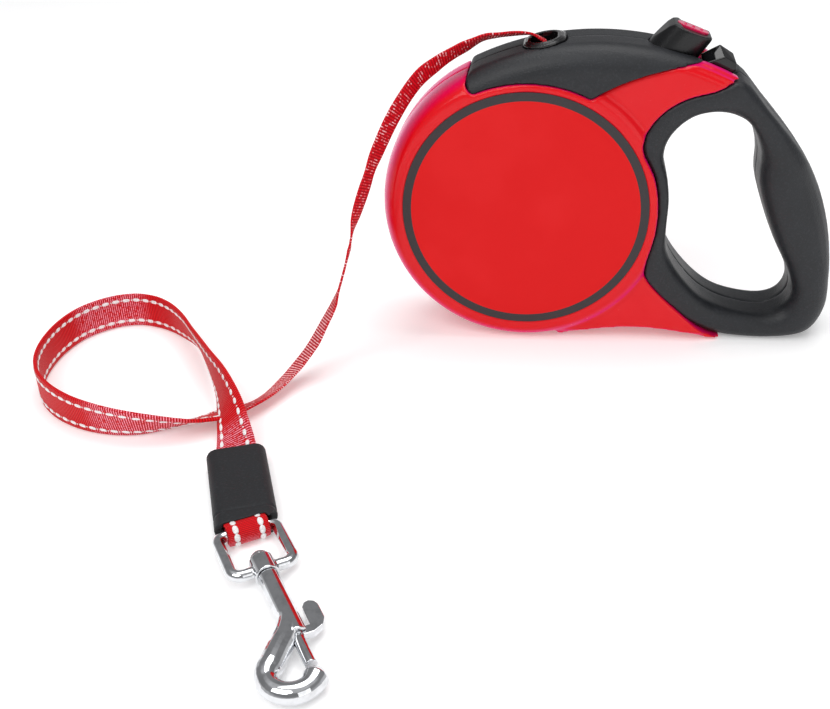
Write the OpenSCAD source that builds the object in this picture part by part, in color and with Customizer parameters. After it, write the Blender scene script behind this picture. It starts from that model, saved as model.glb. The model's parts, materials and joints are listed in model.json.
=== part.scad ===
// Retractable tape leash, standing on its two feet. Millimetres, +Z up.
// Origin: on the ground, midway along the casing and midway through its thickness.
// +X runs to the handle, -Y is the front, and the casing opens along the Y = 0 plane.

/* [Casing] */
// Half of the casing's thickness at the side disc
case_half = 19; // [17:0.5:21]
// Radius of the round body
body_r = 56.5; // [55:0.5:58]
// Radius of the flat side, where the shoulder starts
face_r = 50.5; // [49:0.5:51]
// Radius of the hollow that the reel turns in
hollow_r = 47.5; // [46:0.5:48]
// Half thickness of the arms that join the body to the handle
arm_half = 16.5; // [15:0.5:17]
// Half thickness of the top cover
cover_half = 18; // [17:0.5:18.5]
// Outer radius of the trim ring on each side
ring_r = 47.5; // [45:0.5:48.5]
// Width of the trim ring
ring_w = 3.3; // [2:0.1:4]

/* [Handle] */
// Half thickness of the grip in the palm
palm_half = 15.5; // [14:0.5:17]
// Half thickness of the grip beside the body
web_half = 16.5; // [15:0.5:17]

/* [Reel] */
// Radius of the toothed flange
flange_r = 44; // [42:0.5:45]
// Number of brake teeth (a multiple of 12 keeps a gap under the brake at each quarter turn)
teeth = 24; // [24:12:36]
// Radius of the wound tape
wound_r = 38; // [25:1:38.3]
// Radius of the axle
axle_r = 4; // [3:0.5:4.5]

/* [Brake] */
// Lean of the brake button from upright, in degrees
brake_lean = 38; // [34:1:42]
// Travel of the brake button
brake_travel = 4.5; // [3:0.1:4.6]
// Radius of the brake button's round ends
button_r = 8; // [6:0.1:8]
// How far each round end stands from the button's middle
button_long = 1; // [0.5:0.1:1.2]

/* [Tape and leader] */
// Width of the tape
tape_w = 10; // [8:1:11]
// Thickness of the tape
tape_t = 0.9; // [0.6:0.1:1.2]
// Width of the leader webbing
leader_w = 15; // [13:1:16]
// Thickness of the leader webbing
leader_t = 1.5; // [1.2:0.1:1.6]
// Length of the rubber sleeve
sleeve_l = 41.5; // [30:0.5:42]
// Width of the rubber sleeve
sleeve_w = 20.6; // [19:0.1:22]
// Thickness of the rubber sleeve
sleeve_t = 7.6; // [7:0.1:7.7]

/* [Snap hook] */
// Radius of the swivel ring's rod
rod_r = 1.9; // [1.7:0.1:1.9]
// Half of the distance between the swivel ring's sides
ring_half = 9.7; // [9.5:0.1:11]
// Distance from the swivel ring's top bar to its bottom bar
ring_l = 20.2; // [18:0.1:20.5]
// Radius of the snap's shank
shank_r = 3.3; // [3.2:0.1:3.7]
// Radius of the hook's rod
hook_r = 3.2; // [2.8:0.1:3.5]
// Travel of the snap's bolt
bolt_travel = 7.5; // [6:0.5:7.5]

/* [Hidden] */
$fn = 96;

gap = 0.1;
red = "firebrick";
bright_red = "crimson";
black = "#2b2d31";
steel = "silver";

// The reel's centre. The casing's outline below is drawn around it, in X and Z.
reel_x = -32;
reel_z = 56;

// Outline arcs: centre and radius
crest_c = [25, -46];
crest_r = 109.4;
back_c = [38, -28];
back_r = 83;
heel_c = [107, -42];
heel_r = 14;
belly_c = [45, -150];
belly_r = 99.5;
cheek_c = [66, -23.5];
cheek_r = 80;
cover_lip_r = 50.2;
cover_round = 9;
shoulder_r = body_r - face_r;

// Rounding of the arms' edges, in steps: how far in from the outline, and down from the face
arm_steps = [[0, 4], [1.2, 1.3], [3.5, 0]];

// Stations round the finger opening: inner edge, outer edge, half thickness, and how far
// the outer edge is rounded (0 where it butts on the shell)
grip_stations = [
    [[69.5, 38.5], [68, 46.6], web_half, 0],
    [[77.5, 36.2], [78, 50], 16, 4],
    [[83, 32.5], [88, 39.3], palm_half, 10],
    [[87.3, 22], [102.2, 22.8], palm_half, 13],
    [[88, 10], [110.3, 10], palm_half, 14],
    [[92, -2.5], [116, -3.8], palm_half, 14],
    [[97.5, -15.5], [119, -17.2], palm_half, 12],
    [[103.3, -26.5], [119.8, -30], palm_half, 10],
    [[106, -35.5], [119.8, -42], 15, 10],
    [[103, -42], [115, -52.8], 14.5, 10],
    [[96, -45.3], [104, -55.6], 14.5, 8],
    [[86, -44.3], [87, -55.6], 14.5, 7],
    [[76.5, -41], [74, -53], 15, 5],
    [[68.5, -35.5], [61.5, -42.5], 16, 0],
    [[60.5, -26], [50.5, -31.5], web_half, 0],
    [[56, -17.5], [47.4, -24], web_half, 0],
    [[54.8, -8], [50.4, -9], web_half, 0],
    [[55, 3.5], [50.8, 3], web_half, 0],
    [[53.8, 13], [48.6, 14.5], web_half, 0],
    [[51.8, 21.5], [43.4, 26.2], web_half, 0],
    [[54, 29.5], [48.5, 37], web_half, 0],
    [[61, 36.5], [57.5, 43.6], web_half, 0]];

// Where the two screws of the arms and the three of the body sit
screw_spots = [[-49.4, 13.2], [-29.4, -41.9], [18, -47.9], [30, 44], [57, -46.5]];

// Tape guide: where it sits on the crest
guide_x = 6;
guide_lean = -asin((crest_c[0] - guide_x) / crest_r);
guide_round = 8;
guide_half = 2.5;
guide_hole = 5;
tape_slope = 33.4;

// Brake: a point on its axis at the crest
brake_at = [52.6, 57.5];
plunger_rest = 32.6;
pocket_depth = 7.5 + brake_travel;

// Lock slider: the slope of its seat, and its outline at the edges and along the ridge
lock_slope = 22;
lock_half = 7;
lock_edge = [[63.8, 53.8], [64.6, 55], [71.1, 57], [75.6, 54.6], [75.8, 52.6], [73.4, 50.2]];
lock_ridge = [[63.4, 54], [63.3, 56.4], [69.9, 59.8], [74.9, 56.6], [75.8, 52.6], [73.4, 50.2]];

// The free tape's route, from the guide to the end of the leader: x, y, z, lean of its width
tape_route = [
    [-25.5, 0, 117, -8], [-30, 0, 119.6, -12], [-34, -0.5, 120.3, -18], [-38.5, -1, 120.3, -21],
    [-43.5, -2, 120, -22], [-48.5, -3, 119.5, -27], [-53.5, -4.5, 117.5, -35],
    [-59, -6, 115, -42], [-65.5, -9, 111.5, -52],
    [-73, -13, 106, -60], [-81, -19, 95, -65], [-88, -25, 81, -65], [-91.5, -29, 71.5, -64],
    [-96, -34, 58, -60], [-98, -38, 48, -57], [-100.5, -42, 38.5, -45], [-103.5, -45, 29, -30],
    [-107.5, -49, 21.5, -24], [-111.5, -53, 14.5, -20], [-116.5, -58, 8.5, -22], [-121, -64, 4.8, -28],
    [-124.5, -71, 3.4, -30], [-128.5, -78, 3.2, -28], [-134, -84, 3.2, -20]];

// The leader's route, from the tape's end round its loop to the rubber sleeve
leader_route = [
    [-137, -87, 3.2, 163], [-148, -95, 4.6, 150], [-158, -99.5, 6, 132], [-169, -102, 7.2, 114],
    [-181, -101, 7.7, 102], [-193, -97, 7.9, 95], [-204, -90, 7.9, 91], [-212.5, -81, 7.9, 90],
    [-218, -70, 7.9, 90], [-220.5, -57, 7.9, 90], [-220, -43, 7.9, 90], [-216, -30.5, 7.9, 90],
    [-207.5, -21, 7.9, 90], [-197.5, -17, 7.9, 91], [-188, -18.5, 7.9, 91], [-180, -23, 8, 87],
    [-173, -29.5, 8.4, 82], [-167, -36.5, 9, 76], [-161.5, -45, 9.8, 74], [-155.5, -55.5, 10.7, 80],
    [-148.5, -68, 11.5, 90], [-141, -81, 11.5, 106], [-134.5, -94.5, 9.6, 128], [-131, -103, 6.8, 142],
    [-129, -108.5, 5, 156], [-127.4, -113.6, 4.1, 173]];

// The sleeve, ring and snap lie in a line on the ground from here, at this heading
snap_z = 4.1;
sleeve_end = [-113, -153];
sleeve_turn = -70;
bar_ahead = 0.9;
ring_shift = -0.5;
snap_turn = -59;

// ---------------------------------------------------------------- helpers

// Puts a shape drawn in the outline's plane upright, thickness towards the front
module upright() {
    translate([reel_x, 0, reel_z]) rotate([90, 0, 0]) children();
}

module front_half() upright() children();

module back_half() mirror([0, 1, 0]) upright() children();

// Smooth curve through points (Catmull-Rom), n steps to each span
function spline_at(a, b, c, d, t) =
    0.5 * (2 * b + (c - a) * t + (2 * a - 5 * b + 4 * c - d) * t * t + (3 * b - a - 3 * c + d) * t * t * t);

function closed_spline(p, n) = let (m = len(p))
    [for (i = [0 : m - 1]) for (k = [0 : n - 1])
        spline_at(p[(i + m - 1) % m], p[i], p[(i + 1) % m], p[(i + 2) % m], k / n)];

function open_spline(p, n) = let (m = len(p))
    concat([for (i = [0 : m - 2]) for (k = [0 : n - 1])
        spline_at(p[max(i - 1, 0)], p[i], p[i + 1], p[min(i + 2, m - 1)], k / n)], [p[m - 1]]);

function column(table, k) = [for (row = table) row[k]];

function unit(v) = v / norm(v);

// Joins rings of points into one solid, either end to end or with flat caps
module loft(rings, closed = false) {
    m = len(rings);
    n = len(rings[0]);
    walls = [for (i = [0 : m - (closed ? 1 : 2)]) for (j = [0 : n - 1]) let (
        a = i * n + j,
        b = i * n + (j + 1) % n,
        c = ((i + 1) % m) * n + (j + 1) % n,
        d = ((i + 1) % m) * n + j)
        each [[a, b, c], [a, c, d]]];
    caps = closed ? [] : [[for (j = [n - 1 : -1 : 0]) j], [for (j = [0 : n - 1]) (m - 1) * n + j]];
    polyhedron([for (ring = rings) each ring], concat(walls, caps), convexity = 8);
}

// A flat band along a route of [x, y, z, lean]: eight points round, leaned about its own line
function band_rings(route, w, t) = let (m = len(route))
    [for (i = [0 : m - 1]) let (
        here = [route[i][0], route[i][1], route[i][2]],
        before = route[max(i - 1, 0)],
        after = route[min(i + 1, m - 1)],
        along = unit([after[0] - before[0], after[1] - before[1], after[2] - before[2]]),
        side = unit(cross(along, [0, 0, 1])),
        rise = cross(side, along),
        wide = side * cos(route[i][3]) + rise * sin(route[i][3]),
        thin = cross(along, wide))
        [for (c = [[1, -0.5], [0.96, -1], [-0.96, -1], [-1, -0.5],
            [-1, 0.5], [-0.96, 1], [0.96, 1], [1, 0.5]])
            here + wide * c[0] * w / 2 + thin * c[1] * t / 2]];

// A round wire wound as a coil along +Z
module coil(r, wire, length, turns) {
    steps = turns * 12;
    loft([for (i = [0 : steps]) let (a = 30 * i, z = wire + (length - 2 * wire) * i / steps)
        [for (s = [0 : 5]) let (q = 60 * s)
            [(r + wire * cos(q)) * cos(a), (r + wire * cos(q)) * sin(a), z + wire * sin(q)]]]);
}

// ---------------------------------------------------------------- casing outline

module disc_at(c, r) {
    translate(c) circle(r = r, $fn = 240);
}

// The arms that reach from the body to the handle, above and below it
module arm_outline(inset) {
    intersection() {
        disc_at(crest_c, crest_r - inset);
        translate([-18, 0]) square([95 - inset, 80]);
    }
    hull() {
        translate([14, -reel_z + inset]) square([66, 20]);
        translate([30, 20]) square([40, 10]);
    }
}

module below_casing() {
    disc_at(belly_c, belly_r);
    translate([-100, -reel_z - 20]) square([250, 20]);
}

// Side view of the black cover, grown by room on every side
module cover_area(room) {
    difference() {
        hull() {
            translate([-18.4, 49.9]) circle(r = 4 + room);
            translate([40, 20]) square([40, 64]);
        }
        disc_at([0, 0], cover_lip_r - room);
        disc_at(cheek_c, cheek_r - room);
    }
}

module grip_area() {
    polygon(closed_spline(column(grip_stations, 1), 3));
}

module hollow_area() {
    disc_at([0, 0], hollow_r);
    intersection() {
        disc_at([0, 0], body_r - 2.2);
        rotate(112) square([80, 80]);
    }
}

// ---------------------------------------------------------------- things cut from the casing

// Slanted way for the tape, from the reel to the guide
module tape_way() {
    translate([guide_x, crest_r * cos(guide_lean) + crest_c[1], 0])
        rotate(tape_slope) translate([-3, -24, -tape_w / 2 - 1.5]) cube([6, 24, tape_w + 3]);
}

module guide_shape(r) {
    hull() for (s = [-1, 1]) translate([0, s * guide_half]) circle(r = r);
}

module at_guide() {
    translate([reel_x + crest_c[0], 0, reel_z + crest_c[1]])
        rotate([0, guide_lean, 0]) translate([0, 0, crest_r]) children();
}

module at_brake() {
    translate([reel_x + brake_at[0], 0, reel_z + brake_at[1]]) rotate([0, brake_lean, 0]) children();
}

module button_shape(room) {
    hull() for (s = [-1, 1]) translate([s * button_long, 0]) circle(r = button_r + room, $fn = 64);
}

// Pocket of the button and the hole of its plunger
module brake_bores() {
    at_brake() {
        translate([0, 0, -pocket_depth]) linear_extrude(40) button_shape(0.2);
        translate([0, 0, -plunger_rest - 6]) cylinder(r = 3.3, h = 40);
        translate([-2.6, -10.2, -plunger_rest - 8]) cube([5.2, 9, 20.6]);
    }
}

// Flat seat of the lock slider, and the slot that its foot runs in
module lock_seat() {
    upright() {
        translate([0, 0, -lock_half - 0.3]) linear_extrude(2 * lock_half + 0.6)
            polygon([[60.9, 54.6], [76, 48.6], [78.4, 51], [78.4, 70], [60.9, 70]]);
        translate([61.5, 54.5, -3]) rotate(-lock_slope) translate([0, -4.3, 0]) cube([15, 5.3, 6]);
    }
}

module guide_pocket() {
    at_guide() translate([0, 0, -3]) linear_extrude(20) guide_shape(guide_round + gap);
}

module casing_cuts() {
    brake_bores();
    lock_seat();
    guide_pocket();
    upright() tape_way();
}

// ---------------------------------------------------------------- casing

// Section of the round body: flat side, full shoulder, slightly crowned rim
module body_profile() {
    polygon(concat([[0, 0]], [for (a = [0 : 7.5 : 90])
        [face_r + shoulder_r * cos(a), case_half * pow(sin(a), 0.6)]], [[0, case_half]]));
}

// One half of the red shell, before its screw holes
module shell_half() {
    difference() {
        union() {
            rotate_extrude($fn = 240) body_profile();
            for (step = arm_steps) linear_extrude(arm_half - step[1]) arm_outline(step[0]);
        }
        translate([0, 0, -1]) linear_extrude(40) below_casing();
        translate([0, 0, -1]) linear_extrude(40) {
            cover_area(gap);
            offset(delta = gap) grip_area();
        }
        translate([0, 0, -1]) linear_extrude(case_half - 2.5) difference() {
            hollow_area();
            for (p = screw_spots) translate(p) circle(r = 3.4);
        }
        translate([0, 0, case_half - 1.2]) cylinder(r = ring_r + 0.05, h = 5);
    }
    translate([0, 0, 14.6]) cylinder(r = 9, h = 2);
}

module axle_seat() {
    translate([0, 0, 10]) cylinder(r = axle_r, h = 6.5);
}

module front_shell() {
    color(red) difference() {
        front_half() difference() {
            shell_half();
            axle_seat();
            for (p = screw_spots) translate([p[0], p[1], -1]) cylinder(r = 1.55, h = 12);
        }
        casing_cuts();
    }
}

module back_shell() {
    color(red) difference() {
        back_half() difference() {
            shell_half();
            axle_seat();
            for (p = screw_spots) translate([p[0], p[1], -1]) {
                cylinder(r = 1.7, h = 30);
                translate([0, 0, 11]) cylinder(r = 3, h = 20);
            }
        }
        casing_cuts();
    }
}

module side_disc() {
    translate([0, 0, case_half - 1.15]) cylinder(r = ring_r - ring_w, h = 1.15);
}

module front_disc() {
    color(bright_red) front_half() side_disc();
}

module back_disc() {
    color(bright_red) back_half() side_disc();
}

module trim_ring() {
    translate([0, 0, case_half - 1.15]) difference() {
        cylinder(r = ring_r, h = 1.15);
        translate([0, 0, -1]) cylinder(r = ring_r - ring_w, h = 4);
    }
}

module front_trim_ring() {
    color(black) front_half() trim_ring();
}

module back_trim_ring() {
    color(black) back_half() trim_ring();
}

// Black cover along the crest: a rounded bar swept about the crest's centre
module cover_half_solid() {
    intersection() {
        translate(crest_c) rotate(30) rotate_extrude(angle = 100, $fn = 240) {
            translate([80, 0]) square([crest_r - 80, cover_half - cover_round]);
            translate([80, 0]) square([crest_r - 80 - cover_round, cover_half]);
            translate([crest_r - cover_round, cover_half - cover_round]) circle(r = cover_round);
        }
        linear_extrude(cover_half) cover_area(0);
    }
}

module front_top_cover() {
    color(black) difference() {
        front_half() cover_half_solid();
        casing_cuts();
    }
}

module back_top_cover() {
    color(black) difference() {
        back_half() cover_half_solid();
        casing_cuts();
    }
}

// Half of the soft grip: a section swept round the finger opening
module grip_half() {
    inner = closed_spline(column(grip_stations, 0), 3);
    outer = closed_spline(column(grip_stations, 1), 3);
    half = closed_spline(column(grip_stations, 2), 3);
    outer_round = closed_spline(column(grip_stations, 3), 3);
    loft([for (i = [0 : len(inner) - 1]) let (
        width = norm(outer[i] - inner[i]),
        turn = unit(outer[i] - inner[i]),
        near = min(9, width * 0.5),
        far = max(0.6, min(outer_round[i], width - near - 0.6)))
        concat(
            [for (a = [0 : 18 : 90]) let (p = inner[i] + turn * near * (1 - cos(a)))
                [p[0], p[1], a == 0 ? 0 : half[i] - near + near * sin(a)]],
            [for (a = [90 : -18 : 0]) let (p = outer[i] - turn * far * (1 - cos(a)))
                [p[0], p[1], a == 0 ? 0 : half[i] - far + far * sin(a)]])],
        closed = true);
}

module front_grip() {
    color(black) difference() {
        front_half() grip_half();
        lock_seat();
    }
}

module back_grip() {
    color(black) difference() {
        back_half() grip_half();
        lock_seat();
    }
}

// Glossy collar that the tape runs through
module tape_guide() {
    color("#15161a") at_guide() difference() {
        union() {
            translate([0, 0, -2.95]) linear_extrude(3.5) guide_shape(guide_round);
            linear_extrude(1) guide_shape(guide_round - 0.7);
            linear_extrude(1.3) guide_shape(guide_round - 1.6);
        }
        translate([0, 0, -5]) linear_extrude(12) guide_shape(guide_hole);
    }
}

module shell_screws() {
    color(steel) back_half() for (p = screw_spots) translate([p[0], p[1], 0]) {
        translate([0, 0, -8]) cylinder(r = 1.5, h = 18.1);
        difference() {
            translate([0, 0, 10.1]) cylinder(r = 2.8, h = 2);
            translate([-0.4, -1.8, 11.1]) cube([0.8, 3.6, 2]);
            translate([-1.8, -0.4, 11.1]) cube([3.6, 0.8, 2]);
        }
    }
}

// ---------------------------------------------------------------- reel

module axle() {
    color(steel) front_half() translate([0, 0, -16.4]) cylinder(r = axle_r, h = 32.8);
}

// Collar on the axle that holds the inner end of the power spring
module spring_arbor() {
    color(steel) back_half() translate([0, 0, 8]) difference() {
        cylinder(r = 6, h = 5.6);
        translate([0, 0, -1]) cylinder(r = axle_r, h = 9);
    }
}

module power_spring() {
    turns = 7;
    steps = turns * 24;
    growth = (24.5 - 6.05) / steps;
    outer = [for (i = [0 : steps]) (6.55 + growth * i) * [cos(15 * i), sin(15 * i)]];
    inner = [for (i = [steps : -1 : 0]) (6.05 + growth * i) * [cos(15 * i), sin(15 * i)]];
    color("#7d8792") back_half() translate([0, 0, 8.2]) linear_extrude(5.2) polygon(concat(outer, inner));
}

// Hub, back flange and spring cup, one moulding
module reel() {
    color("#3a3c40") back_half() difference() {
        union() {
            translate([0, 0, -5.6]) cylinder(r = 16, h = 12);
            translate([0, 0, 5.6]) cylinder(r = flange_r - 1, h = 1.8);
            translate([0, 0, 5.6]) cylinder(r = 28, h = 8.2);
        }
        translate([0, 0, 7.4]) cylinder(r = 26, h = 10);
        translate([0, 0, -10]) cylinder(r = axle_r + 0.05, h = 30);
        translate([0, 0, -8]) difference() {
            cylinder(r = 14, h = 12);
            cylinder(r = axle_r + 2.5, h = 12);
        }
    }
}

// Front flange with the brake's teeth round its rim
module reel_front_flange() {
    color("#3a3c40") front_half() translate([0, 0, 5.6]) difference() {
        cylinder(r = flange_r, h = 2.3);
        translate([0, 0, -1]) cylinder(r = axle_r + 2, h = 5);
        for (k = [0 : teeth - 1]) rotate(44 + k * 360 / teeth)
            translate([39.5, -2.5, -1]) cube([10, 5, 5]);
    }
}

module spring_cup_cover() {
    color("#3a3c40") back_half() translate([0, 0, 13.8]) difference() {
        cylinder(r = 28, h = 0.7);
        translate([0, 0, -1]) cylinder(r = 9.4, h = 3);
    }
}

module tape_winding() {
    color("#b0202a") front_half() translate([0, 0, -tape_w / 2]) difference() {
        cylinder(r = wound_r, h = tape_w);
        translate([0, 0, -1]) cylinder(r = 16, h = tape_w + 2);
    }
}

// The stretch of tape from the winding to the guide
module inner_tape() {
    color("#b0202a") upright()
        translate([guide_x, crest_r * cos(guide_lean) + crest_c[1], 0])
            rotate(tape_slope) translate([-tape_t / 2 + 0.3, -45.5, -tape_w / 2]) cube([tape_t, 43, tape_w]);
}

// ---------------------------------------------------------------- brake and lock

// Thumb button, narrowing to a sloped and dished top, hollow below for its spring
module brake_button() {
    color("#17181b") at_brake() difference() {
        intersection() {
            translate([0, 0, -6.5]) linear_extrude(20) button_shape(0);
            rotate([90, 0, 0]) translate([0, 0, -20]) linear_extrude(40)
                polygon([[-9, -6.5], [-9, 0], [-7.6, 6.8], [-6.6, 8.8], [-4.8, 9.7], [-3.2, 9.6],
                    [1.3, 10.9], [5.2, 12.2], [6.8, 13], [7.6, 12.8], [8, 11.5], [8.6, 5], [9, 0],
                    [9, -6.5]]);
        }
        translate([0, 0, -8]) cylinder(r = 5.6, h = 7);
        translate([0, 0, -8]) cylinder(r = 3, h = 12);
        at_insert() linear_extrude(9) insert_shape(0.05);
    }
}

module at_insert() {
    translate([1, 0, 8.9]) rotate([0, -17, 0]) children();
}

module insert_shape(room) {
    hull() for (s = [-1, 1]) translate([s * 2.6, 0]) circle(r = 2.5 + room, $fn = 48);
}

// Soft pad set in the button's top, with three bumps
module button_insert() {
    color("#d5194f") at_brake() at_insert() {
        linear_extrude(2.2) insert_shape(0);
        for (s = [-1 : 1]) translate([s * 2.6, 0, 1.7]) sphere(r = 0.8, $fn = 24);
    }
}

// Stem below the button, with the blade that drops between the reel's teeth
module brake_plunger() {
    color(steel) at_brake() {
        translate([0, 0, -plunger_rest + 5]) cylinder(r = 2.95, h = plunger_rest - 1.1);
        translate([-1.6, -9.6, -plunger_rest]) cube([3.2, 4.3, 12]);
        translate([-1.6, -9.6, -plunger_rest + 7.2]) cube([3.2, 9.6, 4.8]);
    }
}

module brake_spring() {
    color("#9aa2aa") at_brake() translate([0, 0, -pocket_depth + 0.1]) coil(4.4, 0.5, 6, 4);
}

// Lock slider: a ridged thumb ramp on a foot that runs in the seat's slot
module lock_slider() {
    color("#121316") upright() {
        hull() {
            for (s = [-1, 1]) translate([0, 0, s * (lock_half - 0.05) - 0.05])
                linear_extrude(0.1) polygon(lock_edge);
            translate([0, 0, -0.2]) linear_extrude(0.4) polygon(lock_ridge);
        }
        translate([61.5, 54.5, -2.7]) rotate(-lock_slope) translate([3.4, -3.3, 0]) cube([8, 3.8, 5.4]);
    }
}

module lock_detent_spring() {
    color("#9aa2aa") upright()
        translate([61.5, 54.5, -2]) rotate(-lock_slope) translate([2, -4.25, 0]) cube([7, 0.5, 4]);
}

// ---------------------------------------------------------------- tape, leader and sleeve

module lead_tape() {
    color("#c8222c") loft(band_rings(open_spline(tape_route, 2), tape_w, tape_t));
}

module leader_webbing() {
    color("#c8222c") loft(band_rings(open_spline(leader_route, 2), leader_w, leader_t));
}

// Outer radius of the webbing's loop, and its width
loop_r = rod_r + 0.3 + leader_t;
loop_w = 13.4;

// Local +X runs on towards the snap's tip
module at_sleeve() {
    translate([sleeve_end[0], sleeve_end[1], snap_z]) rotate(sleeve_turn) children();
}

// Flat sleeve over the stitched end, hollowed at its mouth for the loop and the ring's bar
module rubber_sleeve() {
    color("#232427") difference() {
        at_sleeve() translate([-sleeve_l, 0, 0]) rotate([90, 0, 90]) linear_extrude(sleeve_l) hull()
            for (s = [-1, 1]) translate([s * (sleeve_w - sleeve_t) / 2, 0]) circle(d = sleeve_t, $fn = 48);
        at_sleeve() translate([-sleeve_l - 1, -leader_w / 2 - 0.1, -leader_t - 0.1])
            cube([sleeve_l + 2, leader_w + 0.2, 2 * leader_t + 0.2]);
        at_ring() translate([0, -ring_shift, 0]) rotate([90, 0, 0]) {
            translate([0, 0, -loop_w / 2 - 0.2]) cylinder(r = loop_r + 0.25, h = loop_w + 0.4);
            translate([0, 0, -15]) cylinder(r = rod_r + 1.4, h = 30);
        }
    }
}

// Doubled webbing inside the sleeve, and the loop that its end makes round the ring's bar
module leader_end_loop() {
    color("#c8222c") difference() {
        union() {
            at_sleeve() translate([0.3 - sleeve_l, -loop_w / 2, -leader_t])
                cube([sleeve_l - 1.5, loop_w, 2 * leader_t]);
            at_ring() translate([0, loop_w / 2 - ring_shift, 0]) rotate([90, 0, 0]) linear_extrude(loop_w) {
                circle(r = loop_r);
                polygon([[0, loop_r], [-3.3, leader_t], [-3.3, -leader_t], [0, -loop_r]]);
            }
        }
        at_ring() translate([0, 15, 0]) rotate([90, 0, 0]) cylinder(r = rod_r + 0.3, h = 30);
    }
}

// ---------------------------------------------------------------- swivel ring and snap

// Local origin on the ring's top bar, +X towards the snap's tip
module at_ring() {
    at_sleeve() translate([bar_ahead, 0, 0]) rotate(snap_turn - sleeve_turn) translate([0, ring_shift, 0])
        children();
}

module at_snap() {
    at_ring() translate([ring_l, 0, 0]) children();
}

// Bend radius of the ring's corners
bend_r = 3.2;

module corner(x, y, turn) {
    translate([x, y, 0]) rotate(turn) rotate_extrude(angle = 90)
        translate([bend_r, 0]) circle(r = rod_r, $fn = 48);
}

module bar(x, y, length, along_y) {
    translate([x, y, 0]) rotate(along_y ? [-90, 0, 0] : [0, 90, 0])
        cylinder(r = rod_r, h = length, $fn = 48);
}

module swivel_ring() {
    side = ring_half - bend_r;
    far = ring_l - bend_r;
    color(steel) at_ring() difference() {
        union() {
            bar(0, -side, 2 * side, true);
            bar(ring_l, -side, 2 * side, true);
            for (s = [-1, 1]) bar(bend_r, s * ring_half, ring_l - 2 * bend_r, false);
            corner(bend_r, side, 90);
            corner(bend_r, -side, 180);
            corner(far, side, 0);
            corner(far, -side, 270);
            translate([ring_l - 4, 0, 0]) rotate([0, 90, 0]) cylinder(r = 3.9, h = 7.5);
        }
        translate([ring_l - 5, 0, 0]) rotate([0, 90, 0]) cylinder(r = 2.05, h = 10);
    }
}

hook_c = [43.6, -5.9];
hook_ring = 6.8;

function on_hook(a) = [hook_c[0] + hook_ring * cos(a), hook_c[1] + hook_ring * sin(a), 0];

// How much thicker the hook's rod is at its neck, half way from the shank to the bend
neck_extra = 0.8;

// Round rod that leaves the shank, bends round the eye and ends in a rounded tip
module hook_rod() {
    bend = open_spline(concat([[20, 0, 0], [24, -0.4, 0], [29, -2.7, 0], [33.6, -6.4, 0]],
        [for (a = [215 : 20 : 415]) on_hook(a)]), 2);
    last = len(bend) - 1;
    aim = unit(bend[last] - bend[last - 1]);
    line = concat(bend, [for (b = [30, 60, 80]) bend[last] + aim * hook_r * sin(b)]);
    radii = concat([for (i = [0 : last]) hook_r + neck_extra * max(0, cos(90 * (i - 7) / 6))], [for (b = [30, 60, 80]) hook_r * cos(b)]);
    loft([for (i = [0 : len(line) - 1]) let (
        along = unit(line[min(i + 1, len(line) - 1)] - line[max(i - 1, 0)]),
        side = [-along[1], along[0], 0])
        [for (q = [0 : 22.5 : 337.5]) line[i] + (side * cos(q) - [0, 0, sin(q)]) * radii[i]]]);
}

// Shank, swivel rivet and hook
module snap_body() {
    color(steel) at_snap() difference() {
        union() {
            translate([-7.6, 0, 0]) rotate([0, 90, 0]) cylinder(r1 = 1.6, r2 = 3.1, h = 2);
            translate([-5.6, 0, 0]) rotate([0, 90, 0]) cylinder(r = 3.1, h = 1.3);
            translate([-5, 0, 0]) rotate([0, 90, 0]) cylinder(r = 1.95, h = 10);
            translate([3.8, 0, 0]) rotate([0, 90, 0]) cylinder(r = shank_r, h = 27.2);
            hook_rod();
        }
        translate([6, 0, 0]) rotate([0, 90, 0]) cylinder(r = 1.9, h = 39);
        translate([21, 0, -1.4]) cube([24, 10, 2.8]);
    }
}

// Inner end of the bolt at rest: the spring's shortest length and the travel are behind it
bolt_back = 13.3 + bolt_travel;

// Spring bolt that closes the hook, with its bent thumb tab
module snap_bolt() {
    color(steel) at_snap() {
        translate([bolt_back, 0, 0]) rotate([0, 90, 0]) cylinder(r = 1.85, h = 42.8 - bolt_back, $fn = 48);
        translate([0, 0, -1.2]) linear_extrude(2.4)
            polygon([[29, 0], [29, 4.4], [21.5, 4.6], [20, 5.6], [19.6, 7], [20.4, 8.5], [22.2, 9.2],
                [28, 9.1], [30.6, 7.8], [32.2, 4.8], [32.2, 0]]);
    }
}

module bolt_spring() {
    color("#9aa2aa") at_snap() translate([6.2, 0, 0]) rotate([0, 90, 0]) coil(1.4, 0.3, 6.4, 7);
}

front_shell();
back_shell();
front_disc();
back_disc();
front_trim_ring();
back_trim_ring();
front_top_cover();
back_top_cover();
front_grip();
back_grip();
tape_guide();
shell_screws();
axle();
spring_arbor();
power_spring();
reel();
reel_front_flange();
spring_cup_cover();
tape_winding();
inner_tape();
brake_button();
button_insert();
brake_plunger();
brake_spring();
lock_slider();
lock_detent_spring();
lead_tape();
leader_webbing();
leader_end_loop();
rubber_sleeve();
swivel_ring();
snap_body();
snap_bolt();
bolt_spring();
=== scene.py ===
import json
import math

import bmesh
import bpy
from mathutils import Matrix, Vector

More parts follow.
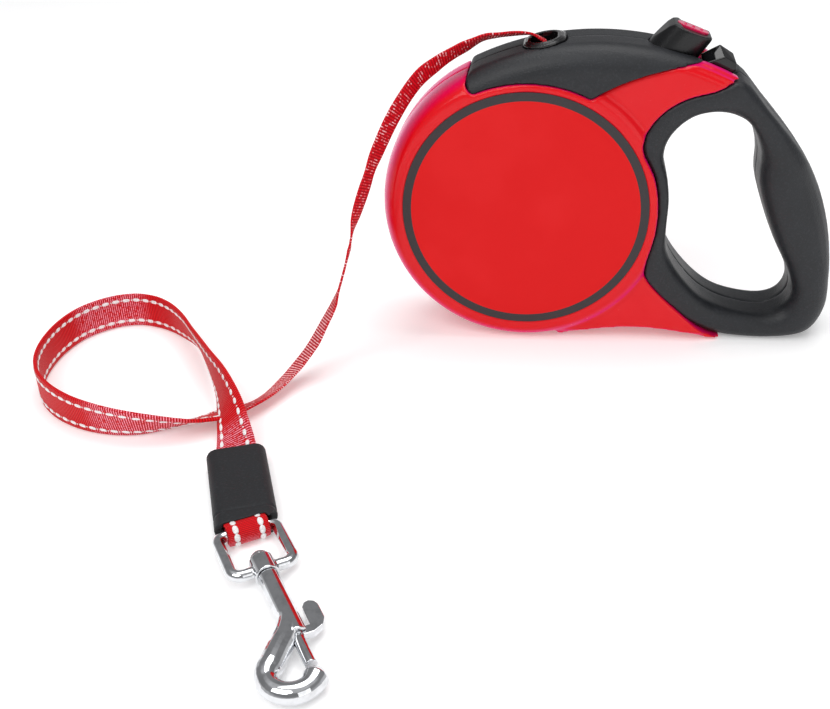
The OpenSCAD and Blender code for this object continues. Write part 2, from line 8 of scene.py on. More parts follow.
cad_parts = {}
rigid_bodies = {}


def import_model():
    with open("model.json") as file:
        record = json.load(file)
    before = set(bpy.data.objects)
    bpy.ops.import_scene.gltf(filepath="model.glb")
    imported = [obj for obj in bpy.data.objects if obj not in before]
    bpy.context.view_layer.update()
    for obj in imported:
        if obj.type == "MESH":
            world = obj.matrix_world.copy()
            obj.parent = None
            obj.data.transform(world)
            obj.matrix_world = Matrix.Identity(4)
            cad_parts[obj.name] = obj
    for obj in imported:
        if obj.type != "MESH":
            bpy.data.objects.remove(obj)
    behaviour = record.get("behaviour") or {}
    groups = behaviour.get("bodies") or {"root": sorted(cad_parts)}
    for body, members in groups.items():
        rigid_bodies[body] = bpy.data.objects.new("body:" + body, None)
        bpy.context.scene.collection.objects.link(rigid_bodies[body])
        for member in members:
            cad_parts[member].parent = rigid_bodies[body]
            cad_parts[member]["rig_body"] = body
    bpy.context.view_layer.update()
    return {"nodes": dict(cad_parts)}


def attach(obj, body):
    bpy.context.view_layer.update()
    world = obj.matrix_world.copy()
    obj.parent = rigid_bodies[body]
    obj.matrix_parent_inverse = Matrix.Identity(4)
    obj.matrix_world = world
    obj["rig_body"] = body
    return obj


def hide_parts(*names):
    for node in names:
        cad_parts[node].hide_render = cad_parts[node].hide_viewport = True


# Retractable tape leash, in metres, in the CAD frame: +Z up, +X towards the handle, -Y the front.
MM = 0.001
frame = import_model()
scene = bpy.context.scene


# ------------------------------------------------------------------ camera

CAMERA_PLACE = Vector((-18.5, -415.9, 223.6)) * MM
CAMERA_HEADING, CAMERA_PITCH, CAMERA_ROLL = (math.radians(a) for a in (-8.38, 30.09, -2.35))
LENS_MM, SENSOR_MM = 47.7, 36


def make_camera():
    """Stands in front of the casing and a little to the left, turned slightly left and looking down at it."""
    heading, pitch, roll = CAMERA_HEADING, CAMERA_PITCH, CAMERA_ROLL
    ahead = Vector((math.sin(heading) * math.cos(pitch), math.cos(heading) * math.cos(pitch),
                    -math.sin(pitch)))
    level = Vector((math.cos(heading), -math.sin(heading), 0))
    above = level.cross(ahead)
    right = level * math.cos(roll) + above * math.sin(roll)
    up = above * math.cos(roll) - level * math.sin(roll)
    data = bpy.data.cameras.new("camera")
    data.sensor_width = SENSOR_MM
    data.lens = LENS_MM
    data.clip_start = 0.01
    camera = bpy.data.objects.new("camera", data)
    camera.matrix_world = Matrix((
        (right.x, up.x, -ahead.x, CAMERA_PLACE.x),
        (right.y, up.y, -ahead.y, CAMERA_PLACE.y),
        (right.z, up.z, -ahead.z, CAMERA_PLACE.z),
        (0, 0, 0, 1)))
    scene.collection.objects.link(camera)
    scene.camera = camera


make_camera()


# ------------------------------------------------------------------ node helpers

class Shader:
    """A material with one Principled shader, and short ways to add the nodes that feed it."""

    def __init__(self, name, **values):
        """values are numbers and colours that are the same all over the surface."""
        self.material = bpy.data.materials.new(name)
        self.material.use_nodes = True
        self.tree = self.material.node_tree
        self.surface = self.tree.nodes["Principled BSDF"]
        for key, value in values.items():
            self.surface.inputs[key.replace("_", " ")].default_value = value
        self.place = self.add("ShaderNodeTexCoord").outputs["Object"]

    def add(self, kind, inputs=(), **settings):
        node = self.tree.nodes.new(kind)
        for key, value in settings.items():
            setattr(node, key, value)
        for key, value in dict(inputs).items():
            if isinstance(value, bpy.types.NodeSocket):
                self.tree.links.new(value, node.inputs[key])
            else:
                node.inputs[key].default_value = value
        return node

    def feed(self, key, socket):
        self.tree.links.new(socket, self.surface.inputs[key])

    def noise(self, size, detail=2.0, roughness=0.5):
        """Noise whose features are about size metres across."""
        return self.add("ShaderNodeTexNoise", {
            "Vector": self.place, "Scale": 1 / size, "Detail": detail, "Roughness": roughness
        }).outputs["Fac"]

    def math(self, operation, a, b=0.0):
        return self.add("ShaderNodeMath", {0: a, 1: b}, operation=operation).outputs[0]

    def wave(self, value, pitch):
        """Runs from 0 to 1 and back once every pitch."""
        wave = self.math("SINE", self.math("MULTIPLY", value, 2 * math.pi / pitch))
        return self.math("ADD", self.math("MULTIPLY", wave, 0.5), 0.5)

    def span(self, value, low, high, to_low=0.0, to_high=1.0):
        """Smooth step from to_low, where value is low, to to_high, where it is high."""
        return self.add("ShaderNodeMapRange", {
            "Value": value, "From Min": low, "From Max": high, "To Min": to_low, "To Max": to_high
        }, interpolation_type="SMOOTHSTEP").outputs["Result"]

    def mix(self, amount, a, b):
        return self.add("ShaderNodeMix", {"Factor": amount, 6: a, 7: b}, data_type="RGBA").outputs[2]

    def bump(self, height, strength, depth, base=None):
        inputs = {"Height": height, "Strength": strength, "Distance": depth}
        if base is not None:
            inputs["Normal"] = base
        return self.add("ShaderNodeBump", inputs).outputs["Normal"]

    def facing(self):
        """0 where the surface faces the eye, 1 where it is seen edge on."""
        return self.add("ShaderNodeLayerWeight", {"Blend": 0.5}).outputs["Facing"]

    def painted_edge_highlight(self):
        """1 along outer edges, where a highlight is painted."""
        return self.span(self.add("ShaderNodeNewGeometry").outputs["Pointiness"], 0.52, 0.6)

    def strip(self):
        """Metres along and across a strip, from its UV map."""
        uv = self.add("ShaderNodeUVMap", uv_map="strip").outputs["UV"]
        apart = self.add("ShaderNodeSeparateXYZ", {0: uv})
        return apart.outputs["X"], apart.outputs["Y"]


def rgba(r, g, b):
    return (r, g, b, 1.0)


def scaled(colour, factor, extra=0.0):
    """The colour times factor, plus the same extra in each channel."""
    return rgba(*(min(1, c * factor + extra) for c in colour))


# ------------------------------------------------------------------ materials

def moulded(name, face, painted_rim_colour, roughness, coat, painted_rim_from, specular):
    """Moulded plastic, cloudy and slightly scuffed.

    Its colour is face where the surface faces the eye, and goes over to a painted rim highlight as it turns
    away from it.
    """
    s = Shader(name, Coat_Weight=coat, Coat_Roughness=0.08, Specular_IOR_Level=specular)
    cloudy = s.noise(0.03, 3)
    # The colour turns to a painted rim highlight where the surface is seen edge on.
    base = s.mix(s.span(s.facing(), painted_rim_from, 0.95), rgba(*face), rgba(*painted_rim_colour))
    pale = scaled(face, 1.12, 0.012)
    s.feed("Base Color", s.mix(s.math("MULTIPLY", s.span(cloudy, 0.45, 0.7), 0.25), base, pale))
    scuffs = s.span(s.noise(0.0016, 5, 0.7), 0.55, 0.75)
    s.feed("Roughness", s.math("ADD", s.math("MULTIPLY", scuffs, 0.08), roughness))
    peel = s.bump(s.noise(0.0022, 1), 0.05, 0.00008)
    s.feed("Normal", s.bump(s.noise(0.0003, 2), 0.04, 0.00003, peel))
    return s.material


def soft_touch(name, colour, roughness, grain, depth, sheen=0.0):
    """Soft plastic or rubber with leathery pits, grain across and depth deep, and paler outer edges as a
    painted highlight.
    """
    s = Shader(name, Specular_IOR_Level=0.42, Sheen_Weight=sheen, Sheen_Roughness=0.4)
    blotch = s.noise(0.012, 4, 0.6)
    speck = s.span(s.noise(grain * 1.4, 2), 0.5, 0.72)
    pale = scaled(colour, 1.7, 0.006)
    tone = s.mix(s.span(blotch, 0.3, 0.75), scaled(colour, 0.7), rgba(*colour))
    tone = s.mix(s.math("MULTIPLY", speck, 0.45), tone, pale)
    # Paler outer edges: a painted edge highlight.
    s.feed("Base Color", s.mix(s.math("MULTIPLY", s.painted_edge_highlight(), 0.5), tone, pale))
    s.feed("Roughness", s.math("ADD", s.math("MULTIPLY", blotch, 0.16), roughness - 0.08))
    pits = s.add("ShaderNodeTexVoronoi", {"Vector": s.place, "Scale": 1 / grain}).outputs["Distance"]
    s.feed("Normal", s.bump(s.noise(grain * 0.6, 3), 0.3, depth * 0.6, s.bump(pits, 0.35, depth)))
    return s.material


def gloss_black(name):
    """Glossy black plastic, faintly smeared, with paler edges as a painted highlight."""
    s = Shader(name, Coat_Weight=0.35, Coat_Roughness=0.04, Specular_IOR_Level=0.3)
    tone = s.mix(s.span(s.noise(0.006, 3), 0.4, 0.7), rgba(0.003, 0.003, 0.0035), rgba(0.006, 0.006, 0.007))
    # Paler edges: a painted edge highlight.
    s.feed("Base Color", s.mix(s.math("MULTIPLY", s.painted_edge_highlight(), 0.35), tone, rgba(0.07, 0.07, 0.075)))
    s.feed("Roughness", s.span(s.noise(0.0012, 4, 0.7), 0.3, 0.8, 0.08, 0.16))
    s.feed("Normal", s.bump(s.noise(0.0018, 2), 0.06, 0.00006))
    return s.material


def metal(name, colour, roughness, streaks=0.0):
    """Plated or turned metal, slightly uneven, with smudges and fine dull marks."""
    s = Shader(name, Metallic=1.0)
    smudge = s.noise(0.004, 4, 0.6)
    s.feed("Base Color", s.mix(s.span(smudge, 0.4, 0.75), rgba(*colour), scaled(colour, 0.8)))
    fine = s.span(s.noise(0.0007, 5, 0.75), 0.45, 0.8)
    s.feed("Roughness", s.math("ADD", s.math("MULTIPLY", fine, 0.07 + streaks), roughness))
    s.feed("Normal", s.bump(s.noise(0.0025, 2), 0.12, 0.00005))
    return s.material


def webbing(name, red, glint, pitch, sheen_size, sheen_from, fleck, painted_glare_spots):
    """Ribbed woven strip with a rib every pitch metres.

    Its rib crests are flecked with a painted glint colour, as strongly as fleck says, in patches sheen_size
    across (more of them the lower sheen_from is) and round the painted glare spots given last, each a
    distance along and a half length.
    """
    s = Shader(name, Sheen_Weight=0.06, Sheen_Roughness=0.3, Specular_IOR_Level=0.15)
    along, across = s.strip()
    rib = s.wave(along, pitch)
    warp = s.wave(across, pitch * 0.62)
    weave = s.math("MULTIPLY", rib, s.math("ADD", s.math("MULTIPLY", warp, 0.45), 0.55))
    # Darker red in the hollows between the ribs: painted shade.
    tone = s.mix(s.span(weave, 0.05, 0.6), scaled(red, 0.55), rgba(*red))
    # Pale flecks on the rib crests, in noise patches and round the glare spots: painted highlights.
    patch = s.span(s.noise(sheen_size, 1), sheen_from, sheen_from + 0.1)
    for middle, half in painted_glare_spots:
        near = s.math("ABSOLUTE", s.math("SUBTRACT", along, middle))
        patch = s.math("MAXIMUM", patch, s.span(near, half * 0.5, half, 1.0, 0.0))
    broken = s.span(s.noise(0.0009, 3, 0.6), 0.36, 0.56)
    shine = s.math("MULTIPLY", s.math("MULTIPLY", patch, s.span(rib, 0.55, 0.85)), broken)
    tone = s.mix(s.math("MULTIPLY", shine, fleck), tone, rgba(*glint))
    s.feed("Base Color", tone)
    s.feed("Roughness", s.span(weave, 0, 1, 0.62, 0.4))
    fuzz = s.bump(s.noise(0.00035, 3), 0.3, 0.00008)
    s.feed("Normal", s.bump(weave, 0.7, 0.00022, fuzz))
    return s.material


def thread(name, colour):
    """Thick matt sewing thread."""
    s = Shader(name, Sheen_Weight=0.3, Specular_IOR_Level=0.3)
    twist = s.noise(0.0005, 2)
    s.feed("Base Color", s.mix(s.span(twist, 0.35, 0.65), scaled(colour, 0.8), rgba(*colour)))
    s.feed("Roughness", s.span(twist, 0, 1, 0.55, 0.75))
    s.feed("Normal", s.bump(twist, 0.5, 0.0001))
    return s.material


# Distance between the ribs of the two woven strips
TAPE_RIB, LEADER_RIB = 1.1 * MM, 0.9 * MM

# Each rim colour is painted light at edges seen edge on: a pink highlight on the shell and the insert, and a
# faint painted shade on the disc.
RED_SHELL = moulded("red_shell", (0.66, 0.003, 0.008), (0.76, 0.002, 0.2),
                    roughness=0.22, coat=0.12, painted_rim_from=0.15, specular=0.2)
RED_DISC = moulded("red_disc", (0.64, 0.009, 0.01), (0.62, 0.008, 0.03),
                   roughness=0.5, coat=0.0, painted_rim_from=0.7, specular=0.12)
INSERT = moulded("red_insert", (0.62, 0.003, 0.07), (0.66, 0.006, 0.12),
                 roughness=0.14, coat=0.4, painted_rim_from=0.5, specular=0.2)
TRIM = soft_touch("charcoal_trim", (0.02, 0.0155, 0.0175), roughness=0.6, grain=0.0005, depth=0.00004)
GRIP = soft_touch("black_grip", (0.010, 0.0115, 0.0145), roughness=0.46, grain=0.0006, depth=0.00022)
RUBBER = soft_touch("black_rubber", (0.009, 0.0105, 0.013), roughness=0.68, grain=0.0007, depth=0.0001,
                    sheen=0.05)
SATIN = soft_touch("satin_black", (0.003, 0.0033, 0.004), roughness=0.28, grain=0.0004, depth=0.00003)
DARK_PLASTIC = soft_touch("dark_plastic", (0.03, 0.031, 0.034), roughness=0.5, grain=0.0006, depth=0.00005)
GLOSS = gloss_black("gloss_black")
CHROME = metal("chrome", (0.72, 0.73, 0.75), roughness=0.05)
STEEL = metal("steel", (0.55, 0.56, 0.58), roughness=0.28, streaks=0.1)
SPRING_STEEL = metal("blued_steel", (0.3, 0.33, 0.38), roughness=0.3, streaks=0.1)
# The pale patches placed along the leader and the tape are painted glare.
LEADER_WEB = webbing("leader_web", (0.72, 0.004, 0.009), (0.95, 0.4, 0.52), LEADER_RIB,
                     sheen_size=0.05, sheen_from=0.72, fleck=0.9,
                     painted_glare_spots=((0.035, 0.022), (0.152, 0.02), (0.284, 0.012)))
TAPE_WEB = webbing("tape_web", (0.7, 0.004, 0.014), (1.0, 0.72, 0.76), TAPE_RIB,
                   sheen_size=0.0022, sheen_from=0.52, fleck=0.85, painted_glare_spots=((0.17, 0.028),))
STITCH = thread("white_thread", (0.92, 0.9, 0.9))


# ------------------------------------------------------------------ shape helpers

def new_object(name, mesh, material, body):
    """A smooth-shaded piece of one material, which moves with the body."""
    obj = bpy.data.objects.new(name, mesh)
    scene.collection.objects.link(obj)
    mesh.materials.clear()
    mesh.materials.append(material)
    for face in mesh.polygons:
        face.use_smooth = True
        face.material_index = 0
    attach(obj, body)
    return obj


def spline(points, steps):
    """Catmull-Rom curve through rows of numbers, as part.scad draws it."""
    rows, last = [], len(points) - 1
    for i in range(last):
        a, b, c, d = points[max(i - 1, 0)], points[i], points[i + 1], points[min(i + 2, last)]
        for k in range(steps):
            t = k / steps
            rows.append([0.5 * (2 * q + (r - p) * t + (2 * p - 5 * q + 4 * r - s) * t * t
                                + (3 * q - p - 3 * r + s) * t ** 3) for p, q, r, s in zip(a, b, c, d)])
    rows.append(list(points[last]))
    return rows


def strip_frames(route):
    """Turns rows of x, y, z in mm and lean in degrees into points in metres, each with the strip's
    width and thickness directions there."""
    frames = []
    for i, row in enumerate(route):
        before, after = route[max(i - 1, 0)], route[min(i + 1, len(route) - 1)]
        run = (Vector(after[:3]) - Vector(before[:3])).normalized()
        side = run.cross(Vector((0, 0, 1))).normalized()
        rise = side.cross(run)
        lean = math.radians(row[3])
        wide = side * math.cos(lean) + rise * math.sin(lean)
        frames.append((Vector(row[:3]) * MM, wide, run.cross(wide)))
    return frames


def resample(route, spacing):
    """Rows about spacing mm apart on the curve through route, and the curve's length in mm."""
    fine = spline(route, 24)
    far = [0.0]
    for a, b in zip(fine, fine[1:]):
        far.append(far[-1] + (Vector(b[:3]) - Vector(a[:3])).length)
    count = max(2, round(far[-1] / spacing))
    rows, k = [], 0
    for i in range(count + 1):
        want = far[-1] * i / count
        while k < len(far) - 2 and far[k + 1] < want:
            k += 1
        t = (want - far[k]) / max(far[k + 1] - far[k], 1e-9)
        rows.append([p + (q - p) * t for p, q in zip(fine[k], fine[k + 1])])
    return rows, far[-1]


# Half of a strip's cross section, in half widths and half thicknesses: rounded edges, a slight crown
SECTION_HALF = [(1, 0), (0.985, 0.55), (0.94, 0.9), (0.8, 1), (0.4, 1.04), (0, 1.05),
                (-0.4, 1.04), (-0.8, 1), (-0.94, 0.9), (-0.985, 0.55)]
# How much wider a strip is at the ends of its ribs, as a share
SCALLOP = 0.012


def make_strip(name, frames, step, width, thick, pitch, material, body):
    """A woven strip with a rounded, scalloped edge. Its UV map holds metres along and across."""
    section = SECTION_HALF + [(-x, -y) for x, y in SECTION_HALF]
    n = len(section)
    mesh_verts, mesh_faces, places = [], [], []
    for i, (at, wide, thin) in enumerate(frames):
        far = i * step
        scallop = 1 + SCALLOP * math.sin(2 * math.pi * far / pitch)
        for x, y in section:
            mesh_verts.append(at + wide * x * width / 2 * scallop + thin * y * thick / 2)
            places.append((far, x * width / 2))
    for i in range(len(frames) - 1):
        for j in range(n):
            k = (j + 1) % n
            mesh_faces.append((i * n + j, i * n + k, (i + 1) * n + k, (i + 1) * n + j))
    mesh_faces.append(tuple(range(n - 1, -1, -1)))
    mesh_faces.append(tuple((len(frames) - 1) * n + j for j in range(n)))
    mesh = bpy.data.meshes.new(name)
    mesh.from_pydata(mesh_verts, [], mesh_faces)
    uv = mesh.uv_layers.new(name="strip")
    for loop in mesh.loops:
        uv.data[loop.index].uv = places[loop.vertex_index]
    fix_normals(mesh)
    return new_object(name, mesh, material, body)


def fix_normals(mesh):
    work = bmesh.new()
    work.from_mesh(mesh)
    bmesh.ops.recalc_face_normals(work, faces=work.faces)
    work.to_mesh(mesh)
    work.free()


# A stitch's facets round it and along it
STITCH_AROUND, STITCH_ALONG = 8, 6
# The dot between two stitches: its length, width and height as shares of a stitch's
DOT_LENGTH, DOT_WIDTH, DOT_HEIGHT = 0.14, 0.5, 0.7


def make_stitches(name, frames, step, rows, length, pitch, width, height, lift, body):
    """Rows of thread dashes on both faces of a strip: long ones, with a short dot in each gap.

    rows are the rows' distances from the strip's middle, and lift is the dashes' height above it.
    """
    verts, quads = [], []
    around, along = STITCH_AROUND, STITCH_ALONG

    def dash(index, offset, side, long, wide, high):
        at, across, thin = frames[index]
        ahead = frames[min(index + 1, len(frames) - 1)][0] - frames[max(index - 1, 0)][0]
        run = ahead.normalized()
        centre = at + across * offset + thin * side * lift
        start = len(verts)
        for a in range(along + 1):
            t = -math.pi / 2 + math.pi * a / along
            reach, girth = math.sin(t), max(0.25, math.cos(t) ** 0.55)
            for b in range(around):
                q = 2 * math.pi * b / around
                verts.append(centre + run * reach * long / 2 + across * math.cos(q) * girth * wide / 2
                             + thin * math.sin(q) * girth * high / 2)
        for a in range(along):
            for b in range(around):
                c = (b + 1) % around
                quads.append((start + a * around + b, start + a * around + c,
                              start + (a + 1) * around + c, start + (a + 1) * around + b))
        quads.append(tuple(start + b for b in range(around - 1, -1, -1)))
        quads.append(tuple(start + along * around + b for b in range(around)))

    total = (len(frames) - 1) * step
    for offset in rows:
        for side in (-1, 1):
            # The two rows are out of step
            far = pitch * (0.5 if offset > 0 else 0.7)
            while far < total - length / 2:
                dash(round(far / step), offset, side, length, width, height)
                if far + pitch / 2 < total:
                    dash(round((far + pitch / 2) / step), offset, side,
                         length * DOT_LENGTH, width * DOT_WIDTH, height * DOT_HEIGHT)
                far += pitch
    mesh = bpy.data.meshes.new(name)
    mesh.from_pydata(verts, [], quads)
    fix_normals(mesh)
    return new_object(name, mesh, STITCH, body)


# Vertices closer than this, in metres, are one vertex
WELD = 2e-6


def softened(node, name, voxel, rounds, material):
    """The CAD node's shape with its edges rounded, as moulding, plating and handling leave them.

    A coarser voxel, in mm, and more rounds of smoothing make the edges rounder.
    """
    mesh = frame["nodes"][node].data.copy()
    work = bmesh.new()
    work.from_mesh(mesh)
    bmesh.ops.remove_doubles(work, verts=work.verts, dist=WELD)
    work.to_mesh(mesh)
    work.free()
    maker = bpy.data.objects.new(name + "_maker", mesh)
    scene.collection.objects.link(maker)
    remesh = maker.modifiers.new("remesh", "REMESH")
    remesh.mode = "VOXEL"
    remesh.voxel_size = voxel * MM
    smooth = maker.modifiers.new("smooth", "SMOOTH")
    smooth.factor = 0.5
    smooth.iterations = rounds
    bpy.context.view_layer.update()
    done = bpy.data.meshes.new_from_object(maker.evaluated_get(bpy.context.evaluated_depsgraph_get()))
    done.name = name
    bpy.data.objects.remove(maker)
    obj = new_object(name, done, material, frame["nodes"][node]["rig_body"])
    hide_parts(node)
    return obj


def swell(obj, factor, shift):
    """Enlarges a piece about its middle, and moves it."""
    low, high = (Vector(f(v.co[k] for v in obj.data.vertices) for k in range(3)) for f in (min, max))
    middle = (low + high) / 2
    for v in obj.data.vertices:
        v.co = middle + (v.co - middle) * factor + shift


def press_line(obj, start, ahead, at, half, depth):
    """Presses a shallow line round a piece, at a distance along its axis. half is its half width."""
    for v in obj.data.vertices:
        reach = (v.co - start).dot(ahead)
        fall = max(0.0, 1 - abs(reach - at) / half)
        if fall > 0:
            axis_point = start + ahead * reach
            v.co -= (v.co - axis_point).normalized() * depth * fall * fall * (3 - 2 * fall)


# ------------------------------------------------------------------ tape and leader

# Rows of x, y, z in mm and lean in degrees along the middle of each strip
TAPE_ROUTE = [
    (-25.5, 0, 117, -8), (-30, 0, 119.6, -12), (-34, -0.5, 120.3, -18), (-38.5, -1, 120.3, -21),
    (-43.5, -2, 120, -22), (-48.5, -3, 119.5, -27), (-53.5, -4.5, 117.5, -35),
    (-59, -6, 115, -42), (-65.5, -9, 111.5, -52),
    (-73, -13, 106, -60), (-81, -19, 95, -65), (-88, -25, 81, -65), (-91.5, -29, 71.5, -64),
    (-96, -34, 58, -60), (-98, -38, 48, -57), (-100.5, -42, 38.5, -45), (-103.5, -45, 29, -30),
    (-107.5, -49, 21.5, -24), (-111.5, -53, 14.5, -20), (-116.5, -58, 8.5, -22), (-121, -64, 4.8, -28),
    (-124.5, -71, 3.4, -30), (-128.5, -78, 3.2, -28), (-134, -84, 3.2, -20)]
LEADER_ROUTE = [
    (-137, -87, 3.2, 163), (-148, -95, 4.6, 150), (-158, -99.5, 6, 132), (-169, -102, 7.2, 114),
    (-181, -101, 7.7, 102), (-193, -97, 7.9, 95), (-204, -90, 7.9, 91), (-212.5, -81, 7.9, 90),
    (-218, -70, 7.9, 90), (-220.5, -57, 7.9, 90), (-220, -43, 7.9, 90), (-216, -30.5, 7.9, 90),
    (-207.5, -21, 7.9, 90), (-197.5, -17, 7.9, 91), (-188, -18.5, 7.9, 91), (-180, -23, 8, 87),
    (-173, -29.5, 8.4, 82), (-167, -36.5, 9, 76), (-161.5, -45, 9.8, 74), (-155.5, -55.5, 10.7, 80),
    (-148.5, -68, 11.5, 90), (-141, -81, 11.5, 106), (-134.5, -94.5, 9.6, 128), (-131, -103, 6.8, 142),
    (-129, -108.5, 5, 156), (-127.4, -113.6, 4.1, 173)]
# Distance in mm between a strip's cross sections
STEP_MM = 0.3
TAPE_WIDE, TAPE_THICK = 10 * MM, 0.9 * MM
LEADER_WIDE, LEADER_THICK = 15 * MM, 1.5 * MM

tape_rows, tape_length = resample(TAPE_ROUTE, STEP_MM)
tape_step = tape_length / (len(tape_rows) - 1) * MM
tape_frames = strip_frames(tape_rows)
tape = make_strip("tape_strip", tape_frames, tape_step, TAPE_WIDE, TAPE_THICK, TAPE_RIB, TAPE_WEB, "casing")
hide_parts("lead_tape")

leader_rows, leader_length = resample(LEADER_ROUTE, STEP_MM)
leader_step = leader_length / (len(leader_rows) - 1) * MM
leader_frames = strip_frames(leader_rows)
leader = make_strip("leader_strip", leader_frames, leader_step, LEADER_WIDE, LEADER_THICK, LEADER_RIB,
                    LEADER_WEB, "casing")
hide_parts("leader_webbing")
stitches = make_stitches("leader_stitches", leader_frames, leader_step, rows=(-4.8 * MM, 4.8 * MM),
                         length=3.0 * MM, pitch=4.5 * MM, width=1.55 * MM, height=0.5 * MM, lift=0.8 * MM,
                         body="casing")


def heading(degrees):
    """The level direction that many degrees anticlockwise of +X."""
    return Vector((math.cos(math.radians(degrees)), math.sin(math.radians(degrees)), 0))


# The webbing's end leaves the sleeve, turns round the ring's bar and goes back in, all in mm
SLEEVE_MOUTH = Vector((-113, -153, 4.1))
SLEEVE_AHEAD = heading(-70)
BAR_FROM_MOUTH = 0.9
SNAP_AHEAD, SNAP_SIDE = heading(-59), heading(31)
LOOP_RADIUS = 2.95
# Distance ahead of the bar, and height over it, of the loop's upper run
LOOP_RUN = [(-9, 1.25), (-6, 1.3), (-3.6, 1.75), (-1.9, 2.45)]

bar = SLEEVE_MOUTH + SLEEVE_AHEAD * BAR_FROM_MOUTH
loop_turn = [(LOOP_RADIUS * math.cos(math.radians(a)), LOOP_RADIUS * math.sin(math.radians(a)))
             for a in range(90, -91, -20)]
loop_route = LOOP_RUN + loop_turn + [(a, -h) for a, h in reversed(LOOP_RUN)]
loop_rows = [Vector(row) for row in spline([list(bar + SNAP_AHEAD * a + Vector((0, 0, h)))
                                            for a, h in loop_route], 10)]
loop_frames = []
for i, place in enumerate(loop_rows):
    run = (loop_rows[min(i + 1, len(loop_rows) - 1)] - loop_rows[max(i - 1, 0)]).normalized()
    loop_frames.append((place * MM, SNAP_SIDE, run.cross(SNAP_SIDE)))
loop_step = 0.2 * MM
loop = make_strip("loop_strip", loop_frames, loop_step, 13.4 * MM, 1.4 * MM, LEADER_RIB, LEADER_WEB, "casing")
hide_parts("leader_end_loop")
loop_stitches = make_stitches("loop_stitches", loop_frames, loop_step, rows=(-4.1 * MM, 4.1 * MM),
                              length=2.6 * MM, pitch=4.2 * MM, width=1.9 * MM, height=0.6 * MM,
                              lift=0.75 * MM, body="casing")

# ------------------------------------------------------------------ hardware and casing

# Node, piece that replaces it, voxel in mm, rounds of smoothing, material
SOFTENED = [
    ("rubber_sleeve", "sleeve_moulding", 0.35, 8, RUBBER),
    ("swivel_ring", "ring_casting", 0.2, 8, CHROME),
    ("snap_body", "snap_casting", 0.2, 14, CHROME),
    ("snap_bolt", "bolt_casting", 0.15, 5, CHROME),
    ("front_shell", "front_shell_moulding", 0.65, 14, RED_SHELL),
    ("back_shell", "back_shell_moulding", 0.65, 14, RED_SHELL),
    ("front_grip", "front_grip_moulding", 0.7, 10, GRIP),
    ("back_grip", "back_grip_moulding", 0.7, 10, GRIP),
    ("front_top_cover", "front_cover_moulding", 0.5, 6, GRIP),
    ("back_top_cover", "back_cover_moulding", 0.5, 6, GRIP),
    ("tape_guide", "guide_moulding", 0.2, 6, GLOSS),
    ("brake_button", "button_moulding", 0.25, 12, SATIN),
    ("button_insert", "insert_pad", 0.12, 4, INSERT),
    ("lock_slider", "slider_moulding", 0.22, 8, GLOSS)]
made = {node: softened(node, *how) for node, *how in SOFTENED}

press_line(made["rubber_sleeve"], SLEEVE_MOUTH * MM, -SLEEVE_AHEAD, 6 * MM, 1.1 * MM, 0.35 * MM)
# The insert bulges out of the button's sloping top
TOP_SLOPE = math.radians(21)
swell(made["button_insert"], 1.2, Vector((math.sin(TOP_SLOPE), 0, math.cos(TOP_SLOPE))) * 0.2 * MM)

# Nodes whose CAD shape is shown as it is
KEPT = {
    "front_disc": RED_DISC, "back_disc": RED_DISC,
    "front_trim_ring": TRIM, "back_trim_ring": TRIM, "shell_screws": STEEL, "axle": STEEL,
    "spring_arbor": STEEL, "power_spring": SPRING_STEEL, "reel": DARK_PLASTIC,
    "reel_front_flange": DARK_PLASTIC, "spring_cup_cover": DARK_PLASTIC, "tape_winding": TAPE_WEB,
    "inner_tape": TAPE_WEB, "brake_plunger": STEEL, "brake_spring": SPRING_STEEL,
    "lock_detent_spring": SPRING_STEEL, "bolt_spring": SPRING_STEEL}
for node, material in KEPT.items():
    obj = frame["nodes"][node]
    obj.data.materials.clear()
    obj.data.materials.append(material)

# ------------------------------------------------------------------ floor and light

FLOOR_REACH = 6.0


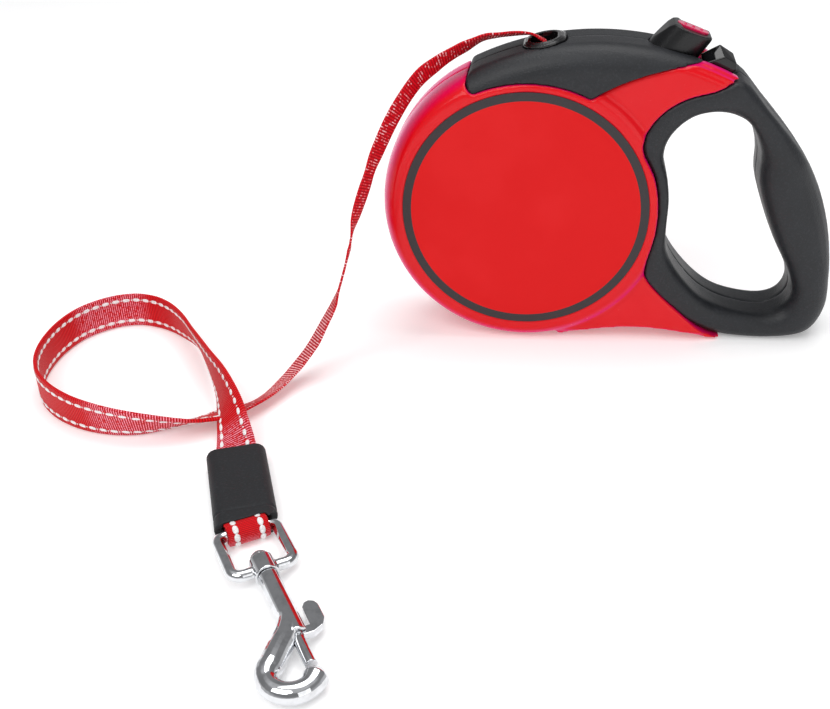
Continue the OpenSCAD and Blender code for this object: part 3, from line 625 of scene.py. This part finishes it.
def make_floor():
    """A white floor, lit a little from within so that it stays white under the soft light."""
    reach = FLOOR_REACH
    mesh = bpy.data.meshes.new("floor")
    mesh.from_pydata([(-reach, -reach, 0), (reach, -reach, 0), (reach, reach, 0), (-reach, reach, 0)],
                     [], [(0, 1, 2, 3)])
    floor = bpy.data.objects.new("floor", mesh)
    scene.collection.objects.link(floor)
    s = Shader("floor_paper", Roughness=0.9, Specular_IOR_Level=0.1, Emission_Strength=0.24,
               Emission_Color=rgba(1, 1, 1))
    s.feed("Base Color", s.mix(s.noise(0.4, 2), rgba(0.9, 0.9, 0.9), rgba(0.92, 0.92, 0.92)))
    mesh.materials.append(s.material)


def soft_light(name, at, towards, size, power):
    """A rectangular lamp of that size in metres and power in watts."""
    data = bpy.data.lights.new(name, "AREA")
    data.shape = "RECTANGLE"
    data.size, data.size_y = size
    data.energy = power
    light = bpy.data.objects.new(name, data)
    light.location = at
    light.rotation_euler = (Vector(towards) - Vector(at)).to_track_quat("-Z", "Y").to_euler()
    scene.collection.objects.link(light)


# The sky's grey at heights from the horizon, 0, to straight up, 1
SKY_GREYS = ((0.12, 0.95), (0.3, 0.4), (0.7, 0.42), (0.85, 0.95))
SKY_STRENGTH = 0.62


def make_world():
    """A pale room, darker half way up its walls, which gives metal and gloss something to reflect."""
    world = bpy.data.worlds.new("room")
    scene.world = world
    world.use_nodes = True
    tree = world.node_tree
    background = tree.nodes["Background"]
    where = tree.nodes.new("ShaderNodeTexCoord")
    apart = tree.nodes.new("ShaderNodeSeparateXYZ")
    ramp = tree.nodes.new("ShaderNodeValToRGB")
    tree.links.new(where.outputs["Generated"], apart.inputs[0])
    tree.links.new(apart.outputs["Z"], ramp.inputs["Fac"])
    tree.links.new(ramp.outputs["Color"], background.inputs["Color"])
    stops = ramp.color_ramp.elements
    stops[0].position, stops[0].color = 0.0, (1, 1, 1, 1)
    stops[1].position, stops[1].color = 1.0, (1, 1, 1, 1)
    for at, level in SKY_GREYS:
        stop = stops.new(at)
        stop.color = (level, level, level * 1.02, 1)
    background.inputs["Strength"].default_value = SKY_STRENGTH


make_floor()
make_world()
soft_light("key", (-0.5, -0.9, 1.1), (-0.03, 0, 0.03), (1.0, 0.8), 9)
soft_light("fill", (0.8, -1.0, 0.5), (0, 0, 0.05), (0.9, 0.9), 3)
soft_light("top", (0.1, 0.2, 1.4), (0, 0, 0), (1.2, 0.8), 9)
scene.view_settings.view_transform = "Standard"
